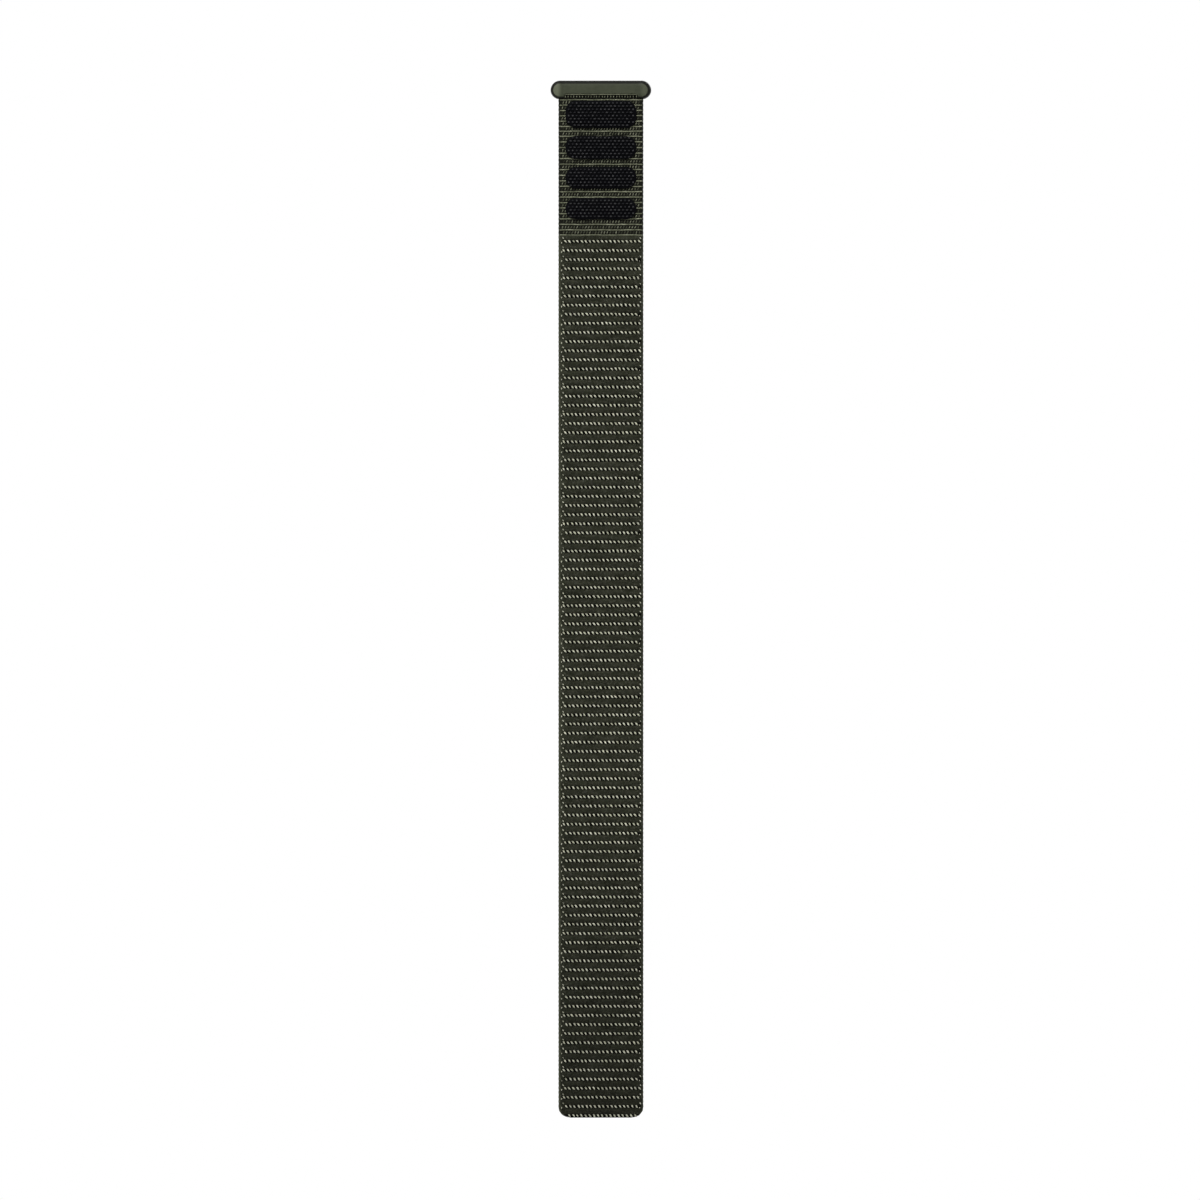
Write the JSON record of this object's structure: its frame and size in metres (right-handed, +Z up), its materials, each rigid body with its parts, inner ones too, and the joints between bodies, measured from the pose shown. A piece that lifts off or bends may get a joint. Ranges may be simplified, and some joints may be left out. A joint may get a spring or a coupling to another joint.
{
  "type": "watch strap",
  "caption": "Woven hook and loop watch strap with a moulded stopper bar; it wraps a wrist, folds back at the far spring bar and closes on its own loop face.",
  "frame": {"origin": "middle of the stopper bar's lower shoulder, at the middle of the webbing's thickness", "axes": "+Z up the strap towards the stopper bar, +X across the webbing, -Y out of the hook and loop face and +Y out of the skin side"},
  "size_m": [0.026, 0.0036, 0.2704],
  "materials": {
    "bar_plastic": "satin moulded plastic, olive grey",
    "rod_steel": "plain drawn steel",
    "webbing_olive": "ribbed woven nylon, dark olive with lighter ribs",
    "loop_pile": "soft nylon loop pile in rows, with light slanted stitches between",
    "hook_black": "black moulded nylon hooks"
  },
  "bodies": {
    "stopper": {"stopper_bar": "bar_plastic", "retaining_rod": "rod_steel", "webbing_hem": "webbing_olive"},
    "hook_1": {"hook_web_1": "webbing_olive", "hook_pad_1": "hook_black"},
    "hook_2": {"hook_web_2": "webbing_olive", "hook_pad_2": "hook_black"},
    "hook_3": {"hook_web_3": "webbing_olive", "hook_pad_3": "hook_black"},
    "hook_4": {"hook_web_4": "webbing_olive", "hook_pad_4": "hook_black"},
    "wrist_1": {"wrist_web_1": "webbing_olive", "wrist_loops_1": "loop_pile"},
    "wrist_2": {"wrist_web_2": "webbing_olive", "wrist_loops_2": "loop_pile"},
    "wrist_3": {"wrist_web_3": "webbing_olive", "wrist_loops_3": "loop_pile"},
    "wrist_4": {"wrist_web_4": "webbing_olive", "wrist_loops_4": "loop_pile"},
    "wrist_5": {"wrist_web_5": "webbing_olive", "wrist_loops_5": "loop_pile"},
    "wrist_6": {"wrist_web_6": "webbing_olive", "wrist_loops_6": "loop_pile"},
    "wrist_7": {"wrist_web_7": "webbing_olive", "wrist_loops_7": "loop_pile"},
    "wrist_8": {"wrist_web_8": "webbing_olive", "wrist_loops_8": "loop_pile"},
    "wrist_9": {"wrist_web_9": "webbing_olive", "wrist_loops_9": "loop_pile"},
    "wrist_10": {"wrist_web_10": "webbing_olive", "wrist_loops_10": "loop_pile"},
    "tail_1": {"tail_web_1": "webbing_olive", "tail_loops_1": "loop_pile"},
    "tail_2": {"tail_web_2": "webbing_olive", "tail_loops_2": "loop_pile"},
    "tail_3": {"tail_web_3": "webbing_olive", "tail_loops_3": "loop_pile"},
    "tail_4": {"tail_web_4": "webbing_olive", "tail_loops_4": "loop_pile"},
    "tail_5": {"tail_web_5": "webbing_olive", "tail_loops_5": "loop_pile"},
    "tail_6": {"tail_web_6": "webbing_olive", "tail_loops_6": "loop_pile"},
    "tail_7": {"tail_web_7": "webbing_olive", "tail_loops_7": "loop_pile"},
    "tail_8": {"tail_web_8": "webbing_olive", "tail_loops_8": "loop_pile"},
    "tail_9": {"tail_web_9": "webbing_olive", "tail_loops_9": "loop_pile"},
    "tail_10": {"tail_web_10": "webbing_olive", "tail_loops_10": "loop_pile"},
    "tail_11": {"tail_web_11": "webbing_olive", "tail_loops_11": "loop_pile"},
    "tip_1": {"tip_web_1": "webbing_olive", "tip_loops_1": "loop_pile"},
    "tip_2": {"tip_web_2": "webbing_olive", "tip_loops_2": "loop_pile"}
  },
  "joints": [
    {"name": "bar_tilt", "type": "hinge", "parent": "stopper", "child": "hook_1", "pos_m": [0, 0, 0.00045], "axis": [1, 0, 0], "range_deg": [-15, 20]},
    {"name": "hook_bend_1", "type": "hinge", "parent": "hook_1", "child": "hook_2", "pos_m": [0, 0, -0.00864], "axis": [1, 0, 0], "range_deg": [-8, 16]},
    {"name": "hook_bend_2", "type": "hinge", "parent": "hook_2", "child": "hook_3", "pos_m": [0, 0, -0.01673], "axis": [1, 0, 0], "range_deg": [-8, 16]},
    {"name": "hook_bend_3", "type": "hinge", "parent": "hook_3", "child": "hook_4", "pos_m": [0, 0, -0.02465], "axis": [1, 0, 0], "range_deg": [-8, 16]},
    {"name": "wrist_bend_1", "type": "hinge", "parent": "hook_4", "child": "wrist_1", "pos_m": [0, 0, -0.03343], "axis": [1, 0, 0], "range_deg": [-8, 18.5]},
    {"name": "wrist_bend_2", "type": "hinge", "parent": "wrist_1", "child": "wrist_2", "pos_m": [0, 0, -0.04309], "axis": [1, 0, 0], "range_deg": [-8, 18.5]},
    {"name": "wrist_bend_3", "type": "hinge", "parent": "wrist_2", "child": "wrist_3", "pos_m": [0, 0, -0.05275], "axis": [1, 0, 0], "range_deg": [-8, 18.5]},
    {"name": "wrist_bend_4", "type": "hinge", "parent": "wrist_3", "child": "wrist_4", "pos_m": [0, 0, -0.06241], "axis": [1, 0, 0], "range_deg": [-8, 18.5]},
    {"name": "wrist_bend_5", "type": "hinge", "parent": "wrist_4", "child": "wrist_5", "pos_m": [0, 0, -0.07207], "axis": [1, 0, 0], "range_deg": [-8, 18.5]},
    {"name": "wrist_bend_6", "type": "hinge", "parent": "wrist_5", "child": "wrist_6", "pos_m": [0, 0, -0.08173], "axis": [1, 0, 0], "range_deg": [-8, 18.5]},
    {"name": "wrist_bend_7", "type": "hinge", "parent": "wrist_6", "child": "wrist_7", "pos_m": [0, 0, -0.09139], "axis": [1, 0, 0], "range_deg": [-8, 18.5]},
    {"name": "wrist_bend_8", "type": "hinge", "parent": "wrist_7", "child": "wrist_8", "pos_m": [0, 0, -0.10105], "axis": [1, 0, 0], "range_deg": [-8, 18.5]},
    {"name": "wrist_bend_9", "type": "hinge", "parent": "wrist_8", "child": "wrist_9", "pos_m": [0, 0, -0.11071], "axis": [1, 0, 0], "range_deg": [-8, 18.5]},
    {"name": "wrist_bend_10", "type": "hinge", "parent": "wrist_9", "child": "wrist_10", "pos_m": [0, 0, -0.12037], "axis": [1, 0, 0], "range_deg": [-8, 18.5]},
    {"name": "fold_back", "type": "hinge", "parent": "wrist_10", "child": "tail_1", "pos_m": [0, -0.00185, -0.13003], "axis": [-1, 0, 0], "range_deg": [0, 179.9]},
    {"name": "tail_bend_1", "type": "hinge", "parent": "tail_1", "child": "tail_2", "pos_m": [0, 0, -0.14029], "axis": [-1, 0, 0], "range_deg": [-8, 18.5]},
    {"name": "tail_bend_2", "type": "hinge", "parent": "tail_2", "child": "tail_3", "pos_m": [0, 0, -0.15116], "axis": [-1, 0, 0], "range_deg": [-8, 18.5]},
    {"name": "tail_bend_3", "type": "hinge", "parent": "tail_3", "child": "tail_4", "pos_m": [0, 0, -0.16202], "axis": [-1, 0, 0], "range_deg": [-8, 18.5]},
    {"name": "tail_bend_4", "type": "hinge", "parent": "tail_4", "child": "tail_5", "pos_m": [0, 0, -0.17289], "axis": [-1, 0, 0], "range_deg": [-8, 18.5]},
    {"name": "tail_bend_5", "type": "hinge", "parent": "tail_5", "child": "tail_6", "pos_m": [0, 0, -0.18375], "axis": [-1, 0, 0], "range_deg": [-8, 18.5]},
    {"name": "tail_bend_6", "type": "hinge", "parent": "tail_6", "child": "tail_7", "pos_m": [0, 0, -0.19462], "axis": [-1, 0, 0], "range_deg": [-8, 18.5]},
    {"name": "tail_bend_7", "type": "hinge", "parent": "tail_7", "child": "tail_8", "pos_m": [0, 0, -0.20548], "axis": [-1, 0, 0], "range_deg": [-8, 18.5]},
    {"name": "tail_bend_8", "type": "hinge", "parent": "tail_8", "child": "tail_9", "pos_m": [0, 0, -0.21635], "axis": [-1, 0, 0], "range_deg": [-8, 18.5]},
    {"name": "tail_bend_9", "type": "hinge", "parent": "tail_9", "child": "tail_10", "pos_m": [0, 0, -0.22721], "axis": [-1, 0, 0], "range_deg": [-8, 18.5]},
    {"name": "tail_bend_10", "type": "hinge", "parent": "tail_10", "child": "tail_11", "pos_m": [0, 0, -0.23808], "axis": [-1, 0, 0], "range_deg": [-8, 18.5]},
    {"name": "tip_bend_1", "type": "hinge", "parent": "tail_11", "child": "tip_1", "pos_m": [0, 0, -0.24799], "axis": [-1, 0, 0], "range_deg": [-8, 16]},
    {"name": "tip_bend_2", "type": "hinge", "parent": "tip_1", "child": "tip_2", "pos_m": [0, 0, -0.25694], "axis": [-1, 0, 0], "range_deg": [-8, 16]}
  ]
}
